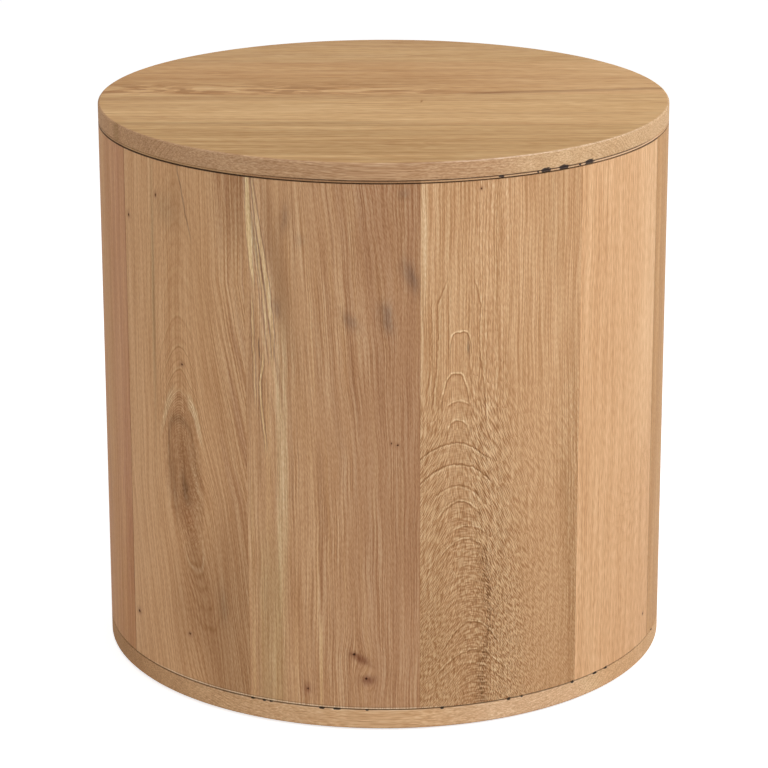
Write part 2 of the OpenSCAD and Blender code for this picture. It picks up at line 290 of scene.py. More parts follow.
def kerf_shade_and_seam_highlight(oak, up, turn):
    """Painted shade on the kerf's edges, less in front of the right half; at the low seam, a painted
    highlight, a brown line and painted shade.
    """
    p = oak.p
    edge = p.step(up, WALL_HIGH - 0.55, WALL_HIGH - 0.15) * p.step(up, LIP_LOW + 0.5, LIP_LOW + 0.1)
    # Painted shade on the edges of the kerf.
    oak.tint(edge * (0.62 - p.between(turn, -24, 56, 12) * 0.44), 0x38251B)
    # Painted highlight along the leaf's lower edge on the left and front, with a brown line above it.
    low = line_at(p, up - WALL_LOW - 0.8, 0.5) * p.between(turn, -50, 8, 8)
    oak.tint(low * 0.8, 0xEFD6B4)
    oak.tint(line_at(p, up - WALL_LOW - 2, 0.38) * p.between(turn, -44, 6, 8) * 0.48, 0x644430)
    # Painted shade on the leaf's bottom edge, over the gap of the low seam.
    oak.tint(p.step(up, WALL_LOW + 0.35, WALL_LOW + 0.05) * 0.6, 0x3A281C)


def leaf_ends(oak, along, up, centre, half):
    """What a leaf of the door has round its edge: the low seam's specks, painted shade and a painted
    highlight at the kerf and the low seam, and the glued edges.
    """
    turn = along * (1 / MM_PER_DEG) + centre
    mine = [spot for spot in LOW_SPECKS if abs(spot[0] - centre) < half + 1]
    specks(oak, turn, up, WALL_LOW - 0.5, mine)
    kerf_shade_and_seam_highlight(oak, up, turn)
    seam_edges(oak, along, half * MM_PER_DEG)
    return oak.finish()


def leaf_start(name, centre, pale, dark, seed, lean=None, dash=0.26, fine=1, **options):
    """A leaf's paint with its place and its plain grain."""
    p = Paint(name)
    along, up, out = p.wall_place(centre)
    wave = (p.noise((along * 0.012 + seed, up * 0.0032, seed), detail=1) - 0.5) * 10
    ripple = (p.noise((along * 0.03, up * 0.022, seed), detail=0) - 0.5) * 3
    across = along + wave + ripple
    if lean is not None:
        across = across + lean(p, along, up)
    return Oak(p, pale, dark, grain(p, across, up, out, seed, fine, dash), **options), along, up, across


def straight_rings(oak, across, spacing, strength, seed):
    """Growth rings cut as straight lines, that come and go across the face."""
    p = oak.p
    wobble = p.noise((across * 0.06 + seed, seed, 0), detail=1) * 3
    fade = p.noise((across * 0.05, seed, 1), detail=1)
    lines = rings(p, across / spacing + wobble)
    oak.darken(lines * p.step(fade, 0.3, 0.7), strength, dent=0.25)


def leaf_plain(name, centre, half, pale, dark, seed):
    """A leaf of the back, which the photo hides."""
    oak, along, up, across = leaf_start(name, centre, pale, dark, seed)
    straight_rings(oak, across, 4.2, 0.07, seed)
    seam_edges(oak, along, half)
    return oak.finish()


def leaf_a(name):
    """Left of the door: pinkish brown, with a faint swirl beside the door's edge."""
    centre = DOOR_LEFT - LEAF_TURN / 2
    oak, along, up, across = leaf_start(name, centre, 0xC79463, 0xB57E53, 11.3, weights=(0.15, 0.24, 0.04))
    p = oak.p
    straight_rings(oak, across, 5, 0.05, 3.1)
    swirl = patch(p, along, up, ((-64 - centre) * MM_PER_DEG, 165), (16, 90))
    lines = p.noise((along * 0.16, up * 0.03, 2), detail=2, swirl=1.4)
    oak.tint(swirl * p.step(lines, 0.45, 0.62) * 0.6, 0xAA6E4C)
    tan = patch(p, along, up, ((-74 - centre) * MM_PER_DEG, 330), (22, 150))
    oak.tint(tan * 0.35, 0xC79A68)
    oak.tint(p.step(along, 28, 62) * p.step(up, 60, 260) * 0.38, 0xCE9B7A)
    kerf_shade_and_seam_highlight(oak, up, along * (1 / MM_PER_DEG) + centre)
    seam_edges(oak, along, LEAF_TURN / 2 * MM_PER_DEG)
    return oak.finish()


def leaf_b(name):
    """The door's first leaf: a dark dome with an eye, arches over it and a pale hook under it."""
    centre = DOOR_LEFT + LEAF_TURN / 2
    eye_up, tall = 225, 88

    def axis(p, up):
        return p.high(300 - up, 0) * 0.05 + p.high(215 - up, 0) * 0.17 + 1.8

    def lean(p, along, up):
        right = p.step(along, -8, 52) * (p.low(p.high(up, 215), 430) - 320) * 0.21
        return p.high(300 - up, 0) * -0.03 - p.high(215 - up, 0) * 0.1 + right

    oak, along, up, across = leaf_start(name, centre, 0xD5A679, 0xCC9C6F, 4.7, lean,
                                        weights=(0.2, 0.29, 0.03))
    p = oak.p
    ragged = p.noise((along * 0.035, up * 0.016, 3), detail=3, rough=0.6) - 0.5
    fine = p.noise((along * 0.16, up * 0.09, 8), detail=2) - 0.5
    off = along - axis(p, up) + ragged * 9
    rise = (up - eye_up) / tall
    wide = 25.5 - p.step(up, 225, 150) * 10
    cube = p.power(p.abs(off) / wide, 3) + p.power(p.abs(rise), 3)
    q = p.power(cube, 1 / 3) + ragged * 0.14 + fine * 0.035
    bent = along + ragged * 9
    # lively red-brown lines on the right, where this leaf meets the next
    right = p.step(along, 30, 78)
    oak.darken((oak.short - 0.5) * right, 0.06)
    oak.darken((oak.long - 0.5) * right * (p.step(up, 250, 400) * 0.55 + 0.45), 0.26)
    red = p.noise((across * 0.12, up * 0.006, 21), detail=2)
    oak.tint(p.step(red, 0.48, 0.64) * right * p.step(up, 150, 260) * 0.45, 0xAF7C5A)
    # drawn arches over the dome, faint ones between them, and fine rings inside the dome
    side = p.abs(along - 4.4 + ragged * 9)
    arch = up + p.power(side, 1.85) * 0.095 + ragged * 6 + fine * 2
    upper = p.step(up, 258, 288)
    near = p.step(side, 70, 20)
    oak.darken(rings(p, arch / 7.3) * upper * near * p.step(arch, 420, 330), 0.11, dent=0.3)
    oak.darken(rings(p, arch / 19) * upper * near, 0.07, dent=0.2)
    for level, depth, width in [(386, 0.15, 1.2), (356.5, 0.29, 1), (334, 0.29, 1), (323, 0.12, 0.9),
                                (427, 0.07, 2.2), (475, 0.06, 2.6)]:
        reach = upper * p.step(side, 44, 22)
        oak.darken(line_at(p, arch - level, width) * reach, depth, dent=0.4)
        oak.tint(line_at(p, arch - level - width * 2.3, width) * reach * depth * 2, 0xDDB688)
    # the dome, darker to its middle, with a dark band and an eye
    inside = p.step(q, 1.08, 0.92)
    oak.tint(inside * p.step(up, 150, 215) * (p.step(off, -22, 10) * 0.18 + 0.22), 0xB0815A)
    oak.tint(p.step(q, 0.95, 0.45) * p.step(up, 150, 215) * 0.42, 0xA0734D)
    oak.tint(patch(p, bent, up, (15, 178), (9, 24), lean=-0.2) * 0.38, 0xAD7950)
    band = line_at(p, q - 0.7, 0.06) * (p.step(off, 20, 0) * 0.5 + 0.5) * p.step(up, 190, 250)
    oak.tint(band * 0.46, 0x85603F)
    light = line_at(p, q - 0.8, 0.05) * p.step(off, 4, 16) * p.between(up, 190, 285, 20)
    oak.tint(light * 0.4, 0xCBA074)
    inner = p.fract(arch / 2.6)
    oak.darken((p.step(inner, 0.6, 0.3) - 0.4) * inside * upper, 0.26, dent=0.3)
    coil = p.fract(q * 19 + ragged * 3 + fine * 2.5)
    turns = p.step(coil, 0.65, 0.25) * p.step(q, 1.12, 0.92)
    oak.darken(turns * p.between(up, 160, 268, 14), 0.17, dent=0.3)
    mottle = p.noise((along * 0.42, up * 0.2, 17), detail=2)
    oak.darken((p.step(mottle, 0.38, 0.62) - 0.5) * p.step(q, 1.3, 0.9) * p.step(up, 120, 170), 0.15)
    cloud = p.noise((off * 0.1, up * 0.03 + side * 0.06, 23), detail=2)
    oak.darken((p.step(cloud, 0.36, 0.64) - 0.5) * inside * p.step(up, 165, 200), 0.2)
    eye = patch(p, along + ragged * 12 + fine * 9, up, (8.4, 217), (4.4, 17), lean=-0.14)
    oak.tint(eye * 0.72, 0x7A583B)
    oak.tint(patch(p, bent + fine * 8, up, (-6, 216), (3.2, 30), lean=-0.1) * 0.34, 0x85603F)
    glint = p.noise((along * 0.6, up * 0.4, 31), detail=0)
    oak.tint(p.step(glint, 0.52, 0.64) * patch(p, along, up, (23, 228), (6.5, 34)) * 0.5, 0xDAB489)
    oak.tint(patch(p, bent, up, (13, 188), (6, 11), lean=-0.25) * 0.45, 0xB0784E)
    # cream lines on the dome's shoulders, and the pale hook below it
    crest = p.fract(arch / 4.6 + 0.3)
    crest = p.step(crest, 0.25, 0.5) * p.step(crest, 0.95, 0.7)
    shoulder = p.between(side, 11, 27, 5) * p.between(arch, 308, 324, 4)
    oak.tint(shoulder * (crest * 0.85 + 0.15), 0xE8C89C)
    flank = p.between(side, 9, 30, 6) * p.between(arch, 326, 372, 8)
    oak.darken(flank * (crest - 0.5), -0.1, dent=-0.2)
    oak.tint(line_at(p, arch - 314.5, 1.1) * p.step(side, 16, 6) * 0.55, 0xE0BA8E)
    under = p.step(up, 160, 142) + p.step(up, 200, 150) * p.step(off, 0, 8) * 0.7
    oak.tint(line_at(p, q - 1, 0.026) * under * 0.95, 0xE4BE92)
    oak.darken(line_at(p, q - 0.945, 0.028) * p.step(up, 170, 150), 0.2, dent=0.3)
    for level in (1.07, 1.2, 1.4, 1.62):
        ray = line_at(p, q - level, 0.03) * p.step(up, 160, 130) * p.step(p.abs(off), 22, 10)
        oak.darken(ray, 0.17, dent=0.3)
    # the browner lower right with its grey smear, and the olive line over the left
    oak.tint(p.step(along, 10, 62) * p.step(up, 250, 110) * 0.62, 0xA67C56)
    olive_at = ((-50.8 - centre) * MM_PER_DEG, 410)
    loose = along + ragged * 12
    for place, at, size, lean_by, much, code in [
            (off, (2, 95), (17, 62), 0, 0.58, 0xA67850),
            (off, (1, 150), (12, 32), 0, 0.56, 0xA1734B),
            (loose, (10, 90), (27, 52), 0, 0.42, 0x9D6F48),
            (loose, (54, 108), (5.5, 19), -0.05, 0.42, 0x8C6B4D),
            (along, olive_at, (2.6, 120), 0.01, 0.5, 0xA18660),
            (along, (-14, 487), (12, 16), 0, 0.25, 0x9C8463),
            (along, (2, 492), (14, 26), 0, 0.3, 0xA67C57)]:
        oak.tint(patch(p, place, up, at, size, lean_by) * much, code)
    oak.tint(right * p.step(up, 420, 500) * 0.56, 0xA67A56)
    oak.tint(right * p.between(up, 150, 420, 40) * 0.2, 0xA37551)
    slip = along - 6.9 - p.high(528 - up, 0) * 0.255 + ragged * 8
    oak.tint(line_at(p, slip, 0.8) * p.step(up, 455, 480) * 0.6, 0x81614A)
    knots(oak, along, up, centre, [(-59.6, 469, 1.3, 1.3), (-42.6, 340.5, 1.3, 0.8),
                                   (-49.4, 498.5, 1, 1.7), (-59.2, 67.5, 1.9, 0.8), (-41.9, 70, 1.3, 0.8)])
    return leaf_ends(oak, along, up, centre, LEAF_TURN / 2)


# Cream sapwood streaks of leaf C: points of (height, place, half width), dark edges' share, and strength
C_STREAKS = [
    ([(425, -73.5, 0), (450, -75.5, 1.4), (480, -77.4, 2.9), (505, -78.4, 2.2), (528, -78.9, 1.7),
      (545, -79, 1.5)], 0.25, 0.95),
    ([(355, -54.2, 0), (387, -55, 1.3), (401, -56.4, 1.8), (422, -58.6, 1.7), (451, -62.2, 1.8),
      (480, -67.2, 1.6), (508, -71.5, 1.2), (530, -74, 0.6)], 0.6, 0.5),
    ([(370, -61, 0), (400, -61.4, 0.5), (440, -65.8, 0.6), (470, -69.6, 0.5), (500, -74, 0)],
     0.35, 0.75),
    ([(262, -62.5, 0), (281, -63.4, 0.6), (312, -66.4, 0.8), (338, -68.4, 0.8), (354, -65.6, 0.9),
      (372, -64, 0)], 0.45, 0.8),
    ([(300, -72.5, 0), (330, -73.4, 0.5), (372, -74.6, 0.7), (400, -75.4, 0.8), (430, -75, 0)],
     0.45, 0.6),
]


def leaf_c(name):
    """The door's second leaf: sapwood streaks on the left, redder to the right, smudges and low knots."""
    centre = DOOR_LEFT + 1.5 * LEAF_TURN

    def lean(p, along, up):
        upper = patch(p, along, up, (24, 75), (13, 19)) * (along - 24)
        bent = (patch(p, along, up, (34.5, 51.5), (10, 14)) * (along - 34.5) + upper) * -0.65
        return bent + p.between(along, -38, 50, 28) * p.high(up - 270, 0) * 0.07

    oak, along, up, across = leaf_start(name, centre, 0xD2A57A, 0xC4966D, 17.9, lean,
                                        weights=(0.21, 0.21, 0.08))
    p = oak.p
    fade = p.noise((across * 0.055, up * 0.009, 33), detail=1)
    oak.darken((oak.long - 0.5) * p.step(fade, 0.36, 0.64), 0.3, dent=0.4)
    straight_rings(oak, across, 5.3, 0.045, 5.5)
    stripes = p.noise((across * 0.16, up * 0.005, 2), detail=2)
    oak.tint(p.step(stripes, 0.54, 0.66) * 0.4, 0xD8AC7C)
    oak.tint(p.step(stripes, 0.46, 0.34) * 0.35, 0xA87A56)
    right = p.step(along, -45, 60)
    oak.tint(right * 0.5, 0xA97D5D)
    oak.tint(patch(p, along, up, (-47, 432), (10, 75), lean=-0.14) * 0.55, 0x9C7450)
    oak.tint(right * p.step(up, 420, 500) * 0.22, 0x9A6C4C)
    ragged = p.noise((along * 0.1, up * 0.05, 9), detail=2) - 0.5
    # the sapwood's light ground with brown wisps, then its cream streaks with dark lines beside them
    slant = along + p.high(up - 250, 0) * 0.125
    wisp = p.noise((slant * 0.34, up * 0.01, 4), detail=3, rough=0.65)
    ground = p.between(slant, -50, -34, 6) * p.step(up, 270, 360)
    oak.tint(ground * 0.8, 0xE2B78D)
    oak.tint(ground * p.step(wisp, 0.5, 0.6) * 0.62, 0x966C50)
    oak.tint(ground * p.step(wisp, 0.45, 0.39) * 0.75, 0xE0BE92)
    thin = p.noise((slant * 1.2, up * 0.014, 6), detail=1)
    for points, wide, much in C_STREAKS:
        middle = p.path(up, [(at_up, at) for at_up, at, half in points])
        width = p.path(up, [(at_up, half) for at_up, at, half in points])
        aside = along - middle + ragged * 2.4
        body = p.step(p.abs(aside) / (width + 0.05), 1.25, 0.7) * p.step(width, 0.02, 0.4)
        oak.tint(body * (p.step(thin, 0.62, 0.5) * 0.45 + 0.55) * much, 0xEDCB98)
        edges = line_at(p, p.abs(aside) - width - 0.9, 0.55) * p.step(width, 0.1, 0.6)
        oak.tint(edges * wide, 0x85624C)
    oak.tint(patch(p, along, up, (-72.3, 478), (2.2, 34), lean=-0.14) * 0.55, 0x8F6A4B)
    crack = line_at(p, along + 68.5 + (up - 370) * 0.05 + ragged * 2, 0.6)
    oak.tint(crack * p.between(up, 362, 380, 4) * 0.75, 0x4A3A32)
    # the pale band that carries on down, and two light lines
    band = p.between(along, -52, -41.5, 2) * p.between(up, 150, 380, 60)
    oak.tint(band * (p.step(wisp, 0.66, 0.42) * 0.6 + 0.25), 0xDDBB90)
    oak.tint(line_at(p, along + 50.5, 1) * p.between(up, 100, 215, 20) * 0.65, 0xD6B184)
    oak.tint(line_at(p, along + 78, 2) * p.step(up, 260, 215) * 0.45, 0xD4AC7C)
    oak.tint(p.step(along, 10, 60) * p.step(up, 110, 190) * 0.18, 0x9A6C4A)
    oak.tint(p.between(along, -72, -46, 6) * p.step(up, 230, 130) * 0.4, 0xB7986A)
    oak.tint(line_at(p, along + 10.3, 1.2) * p.step(up, 120, 90) * 0.75, 0xD9B07E)
    for x, at_up, wide, tall, lean_by, much in [
            (74.5, 446, 6.5, 15, -0.3, 0.72), (52, 412, 6.2, 11, -0.15, 0.6),
            (53.5, 400, 5.5, 10, -0.15, 0.45), (18, 404, 6.5, 9, -0.45, 0.5),
            (-50.5, 411, 3.6, 11, -0.1, 0.45), (-42, 497, 5, 14, 0.1, 0.42),
            (67.5, 524, 4, 5, 0, 0.4), (-27, 478, 5, 6, 0, 0.22)]:
        oak.tint(patch(p, along + ragged * 9, up, (x, at_up), (wide, tall), lean_by) * much, 0x7E6250)
    # the sloping scar with its level middle, the whorl under it, and a red blot
    bent, raised = along + ragged * 5, up + ragged * 7
    slope = patch(p, bent, up + (along - 27.5) * 0.5 + ragged * 7, (27.5, 73), (10, 3.8))
    oak.tint(slope * 0.8, 0x84543B)
    oak.tint(patch(p, bent, raised, (27.5, 73), (9.5, 3.6)) * 0.25, 0x8A5538)
    oak.tint(patch(p, along + ragged * 7, raised, (34.5, 51.5), (7, 4.6)) * 0.84, 0x80503A)
    oak.tint(patch(p, along + ragged * 6, up, (-23.5, 39.5), (4.2, 6.5)) * 0.6, 0x946046)
    knots(oak, along, up, centre, [(-5.85, 77.4, 1.6, 0.75), (-3.55, 53.2, 1.3, 0.9), (-15, 39.5, 0.7, 1.3),
                                   (2.55, 285.2, 0.9, 0.9), (1.35, 287, 0.5, 2.2)])
    return leaf_ends(oak, along, up, centre, LEAF_TURN / 2)


# The drawn arches of leaf D: place and height of the apex, half width, drop at that width, sharpness, and
# strength. Where the strength is below 0, the dark line is over the cream one.
D_ARCHES = [(-45, 392.3, 9.5, 7, 6, 1), (-50, 352.5, 12.5, 20, 3, 1),
            (-47, 326, 9.5, 4, 2, 0.7), (-47.5, 307.5, 10, 9, 3, 0.8),
            (-52, 283.5, 33, 17, 2, -1), (-50, 262.5, 32, 17, 2, -1),
            (-49, 241.5, 20, 10, 2, -0.7), (-45, 228, 20, 13, 2, 1),
            (-38.5, 203, 20, 9, 2, 0.6), (-40, 190, 22, 13, 2, 0.8),
            (-34, 148, 20, 11, 2, 0.35), (-33, 107, 26, 22, 2, 0.9),
            (-33.5, 91, 22, 15, 2, 0.45), (-33, 77.5, 32, 19, 2, 1),
            (-36, 65, 28, 14, 2, 0.5), (-31, 46, 24, 15, 2, 0.3)]

# The long legs beside the upper arches of leaf D: points of (height, place) from the bottom up, and strength
D_LEGS = [([(310, -73.5), (352, -69), (390, -67), (418, -67.5), (445, -57.5)], 0.9),
          ([(325, -78), (360, -73.5), (425, -73)], 0.7),
          ([(360, -56.5), (400, -57), (440, -58)], 0.5),
          ([(305, -20.5), (335, -22.5), (365, -26.5), (392, -27.5), (415, -26), (445, -34)], 0.9),
          ([(330, -33.5), (350, -36.5), (385, -38), (430, -37.5)], 0.6)]


def leaf_d(name):
    """The door's third leaf: arches left of its middle, and slanting dashes on both sides of them."""
    centre = DOOR_LEFT + 2.5 * LEAF_TURN
    oak, along, up, across = leaf_start(name, centre, 0xD2A57A, 0xC79A6F, 29.1, weights=(0, 0, 0))
    p = oak.p
    low_half = p.step(up, 400, 270)
    off = along + 48 - p.step(up, 290, 40) * 20
    jitter = p.noise((along * 0.05, up * 0.05, 6), detail=1) - 0.5
    # upright fibres, strong near the top and on the right
    upright = 1 - low_half * p.step(p.abs(off), 125, 80) * 0.72
    oak.darken((oak.short - 0.5) * upright, 0.22, dent=0.5)
    oak.darken((oak.long - 0.5) * upright, 0.48, dent=0.3)
    # slanting dashes, laid in short courses so that their slope can change across the leaf
    lean = (p.step(off, -16, 16) * 0.94 - 0.52 - p.step(off, 45, 125) * 0.16) * (low_half * 0.88 + 0.12)
    course = up / 24 + jitter * 1.2 + along * 0.011
    layer = course - p.fract(course)
    height = up - layer * 24
    slid = along + height * lean
    short_run = p.step(up, 230, 90) * 0.12 + 0.11
    dash = p.noise((slid * 1.6 + layer * 5.3, height * short_run + slid * 0.3 + layer * 9.1, 12), detail=0)
    mark = p.step(dash, 0.36, 0.64) - 0.5
    flank = low_half * 0.85 + p.between(off, 12, 50, 14) * 0.35
    oak.darken(mark * (flank * (p.step(off, 110, 8) * 0.5 + 0.5)), 0.86, dent=0.7)
    # the ladder of short bars down the arches' middle, and the dark column on its right
    field = up + off * off / 62 + jitter * 4
    bar = p.step(p.noise((field * 0.52, off * 0.12, 5), detail=0), 0.42, 0.58)
    ladder = line_at(p, off + 1 + jitter * 12, 10) * p.step(up, 245, 205)
    ladder = p.low(ladder + p.step(p.abs(off), 40, 10) * low_half * 0.35, 1)
    oak.darken((bar - 0.3) * ladder, 0.35, dent=0.6)
    column = line_at(p, off - 17 + p.step(up, 110, 55) * 11 + jitter * 9, 5.5)
    column = column * p.step(up, 195, 165)
    oak.darken(column * (p.step(dash, 0.4, 0.58) * 0.7 + bar * 0.4), 0.46, dent=0.7)
    crinkle = p.noise((along * 0.2, up * 0.2, 14), detail=1) - 0.5
    bent, raised = along + jitter * 3, up + jitter * 3 + crinkle * 3.2
    for x, top, half, drop, power, much in D_ARCHES:
        t = p.abs(bent - x) / half
        curve = raised - top + p.power(t, power) * drop
        steep = p.power(t, power - 1) * (drop * power / half)
        distance = curve / p.sqrt(steep * steep + 1)
        reach = p.step(t, 1.18, 0.92)
        light, dark, under = (1, 0.42, 1.5) if much > 0 else (0.65, 0.5, -1.4)
        oak.tint(line_at(p, distance, 0.7) * reach * (abs(much) * light), 0xF0CDA0)
        oak.darken(line_at(p, distance + under, 0.85) * reach, dark * abs(much), dent=0.6)
    for points, much in D_LEGS:
        aside = bent - p.path(up, points) + crinkle * 2
        span = p.between(up, points[0][0] + 6, points[-1][0] - 6, 8)
        oak.darken(line_at(p, aside, 0.7) * span, 0.42 * much, dent=0.6)
        oak.tint(line_at(p, aside - 1.6, 0.65) * span * much * 0.6, 0xE8C598)
    oak.tint(patch(p, along, up, (-38, 376), (1.2, 6.5)) * 0.65, 0x7D6C58)
    straight_rings(oak, across, 4.4, 0.05, 8.2)
    # cream left edge that narrows lower down, browner bottom and right edge
    cream = p.step(along + p.step(up, 500, 330) * 4.6, -76, -77.6) * p.step(up, 170, 330)
    oak.tint(cream * 0.4, 0xE4C298)
    oak.tint(patch(p, along, up, (-80, 80), (30, 62)) * 0.36, 0xA0744A)
    oak.tint(p.step(up, 480, 60) * 0.48, 0xB58A60)
    tilt = along + p.high(300 - up, 0) * -0.1
    oak.tint(line_at(p, tilt - 62, 8) * p.step(up, 330, 200) * 0.28, 0xA9835A)
    oak.tint(line_at(p, along - 76, 7) * p.step(up, 430, 330) * 0.42, 0xAC7F55)
    oak.tint(line_at(p, along - 50, 5) * p.step(up, 400, 470) * 0.25, 0xB08A62)
    knots(oak, along, up, centre, [(18.4, 525, 0.8, 1.2)])
    return leaf_ends(oak, along, up, centre, LEAF_TURN / 2)


def leaf_e(name):
    """The door's last leaf: light and pinkish, with dashes that fade to the right and a faint low swirl."""
    turn = DOOR_RIGHT - DOOR_LEFT - 3 * LEAF_TURN
    centre = DOOR_RIGHT - turn / 2
    oak, along, up, across = leaf_start(name, centre, 0xE2B487, 0xD8A87B, 41.7, dash=0.12, fine=1.5,
                                        weights=(0.27, 0.22, 0.06))
    p = oak.p
    straight_rings(oak, across, 3.4, 0.05, 9.9)
    left = p.step(along, 40, -50)
    oak.darken((oak.long - 0.5) * left, 0.06, dent=0.4)
    oak.darken((oak.long - 0.5) * p.step(up, 430, 500), 0.1)
    oak.tint(p.step(along, 8, 50) * p.step(up, 130, 330) * 0.55, 0xEBC093)
    swirl = patch(p, along, up, ((57 - centre) * MM_PER_DEG, 178), (36, 40))
    bend = p.noise((along * 0.05, up * 0.05, 1), detail=2) * 30
    bowl = p.sqrt(p.power(along - 9, 2) * 2 + p.power(up - 240, 2))
    oak.darken(swirl * p.step(p.fract((bowl + bend) / 12), 0.4, 0), 0.1)
    spot = patch(p, along, up, ((65 - centre) * MM_PER_DEG, 221), (9, 12))
    curl = p.noise((along * 0.2, up * 0.15, 7), swirl=2)
    oak.darken(spot * p.step(curl, 0.42, 0.6), 0.13)
    knots(oak, along, up, centre, [(66.3, 51, 1.1, 1)])
    return leaf_ends(oak, along, up, centre, turn / 2)


def joint_shade_share(p, turn):
    """How dark the painted shade in the joint under the top is, by angle: faint on the left, plain in front
    of the right half.
    """
    return p.step(turn, -32, -8) * p.step(turn, 70, 56) * 0.9 + 0.05


def lip(name):
    """The ring under the top, cut from the leaves: each leaf's colour in turn, with a painted highlight
    along its lower edge.
    """
    p = Paint(name)
    along, up, out = p.wall_place(0)
    turn = along * (1 / MM_PER_DEG)
    oak = Oak(p, 0xB58C64, 0xA67C58, grain(p, along, up, out, 71), weights=(0.14, 0.1, 0.06))
    oak.tint(p.step(turn, DOOR_LEFT - 0.3, DOOR_LEFT + 0.3), 0xB58E66)
    seams = [DOOR_LEFT + LEAF_TURN * i for i in (1, 2, 3)] + [DOOR_RIGHT]
    for seam, code in zip(seams, (0xAB815C, 0xC99E74, 0xDFB68E, 0xCDA176)):
        oak.tint(p.step(turn, seam - 0.2, seam + 0.2), code)
    # Painted highlight along the lip's lower edge, on the front right.
    pale = line_at(p, up - LIP_LOW - 0.55, 0.35) * p.step(turn, 5, 35)
    oak.tint(pale * 0.55, 0xF0CFAE)
    # Painted shade in the joint under the top.
    oak.tint(line_at(p, up - TOP_LOW, 0.55) * joint_shade_share(p, turn), JOINT_SHADE)
    specks(oak, turn, up, (LIP_LOW + TOP_LOW) / 2, LIP_SPECKS)
    # Painted shade on the lip's edge over the kerf.
    kerf_shade_and_seam_highlight(oak, up, turn)
    return oak.finish(rough=0.62)


def board(name, pale, dark, seed, pith, tilt=0.03, extra=None, rim_tint=0xD2AB8C, left_rim_shade=0.2):
    """A board whose grain runs from left to right, with rings round a pith below or above it, and painted
    shade on its rim's left.
    """
    p = Paint(name)
    x, y, z = p.object_place()
    wave = (p.noise((x * 0.0035 + seed, y * 0.01, seed), detail=2) - 0.5) * 18
    across = y + wave
    oak = Oak(p, pale, dark, grain(p, across, x, z, seed, 0.55, 0.1), weights=(0.18, 0.2, 0.06),
              streaks=(0.2, 0.8))
    rise = z - pith[1] + x * tilt
    side = across - pith[0]
    ring = p.sqrt(side * side + rise * rise) + (p.noise((x * 0.006, y * 0.03, z * 0.05 + seed)) - 0.5) * 7
    fade = p.noise((across * 0.04, seed, 1), detail=1)
    radius = p.sqrt(x * x + y * y)
    on_rim = p.step(radius, DRUM_R - 2.4, DRUM_R - 1.4)
    turn = p.math("ARCTAN2", x, y * -1) * (180 / math.pi)
    oak.tint(on_rim * 0.55, rim_tint)
    # Painted shade on the left of the rim.
    oak.darken(on_rim * p.between(turn, -115, -48, 26), left_rim_shade)
    oak.darken(on_rim * rings(p, ring / 2.6) * (p.step(fade, 0.35, 0.65) * 0.8 + 0.2), 0.18, dent=0.3)
    oak.darken(rings(p, ring / 5.5) * (p.step(fade, 0.25, 0.75) * 0.75 + 0.15), 0.12, dent=0.25)
    pores = p.noise((x * 0.035 + z * 0.2, y * 0.4, z * 1.5 + seed), detail=1)
    oak.darken((p.step(pores, 0.4, 0.62) - 0.4) * on_rim, 0.17, dent=0.5)
    if extra:
        extra(oak, x, y, z)
    return oak, turn, radius, z, on_rim


def top_board(name, pale, dark, seed, spots=(), **options):
    """A board of the top, with a painted highlight on its arris, painted light and shade on its rim, and
    painted shade in the joint under it.
    """
    oak, turn, radius, z, on_rim = board(name, pale, dark, seed, **options)
    p = oak.p
    # Painted highlight on the rounded arris, strongest on the front right.
    arris_highlight = p.step(radius + z, DRUM_R + DRUM_H - 1.5, DRUM_R + DRUM_H - 0.9)
    oak.tint(arris_highlight * (p.between(turn, 8, 60, 14) * 0.45 + 0.08), 0xF6E0CC)
    # Painted shade on the rim's front left, then painted light on the rim's right.
    oak.darken(on_rim * p.between(turn, -48, 14, 12), 0.06)
    oak.tint(on_rim * p.step(turn, 18, 34) * 0.24, 0xF0D2A2)
    # Painted shade in the joint under the top.
    oak.tint(line_at(p, z - TOP_LOW, 0.5) * on_rim * joint_shade_share(p, turn), JOINT_SHADE)
    specks(oak, turn, z, TOP_LOW - 0.3, spots, on_rim)
    return oak.finish(rough=0.62, gloss=0.08)


def base_board(name, pale, dark, seed, spots=(), **options):
    """A board of the base: painted shade on its bottom edge, painted light and a painted highlight on its
    front, and the seam's specks.
    """
    oak, turn, radius, z, on_rim = board(name, pale, dark, seed, rim_tint=0xE8BF94, left_rim_shade=0.38, **options)
    p = oak.p
    # Painted shade on the rim's bottom edge.
    oak.darken(p.step(z, 5, 2.2) * on_rim, 0.16)
    oak.tint(on_rim * p.between(turn + z * 0.16, 44.8, 50.2, 1.4) * 0.22, 0xF0D7AC)
    # Painted light on the rim's front right.
    oak.tint(on_rim * p.between(turn, 16, 44, 9) * 0.26, 0xF4D6B8)
    oak.darken(on_rim * p.between(turn, 46, 60, 5), 0.05)
    # Painted highlight along the rim's top edge, on the front.
    upper = p.step(z, BASE_HIGH - 1.6, BASE_HIGH - 0.6)
    oak.tint(upper * on_rim * p.between(turn, -40, 45, 20) * 0.3, 0xE8C6A0)
    specks(oak, turn, z, BASE_HIGH + 0.2, spots, on_rim)
    return oak.finish(rough=0.62, gloss=0.08)


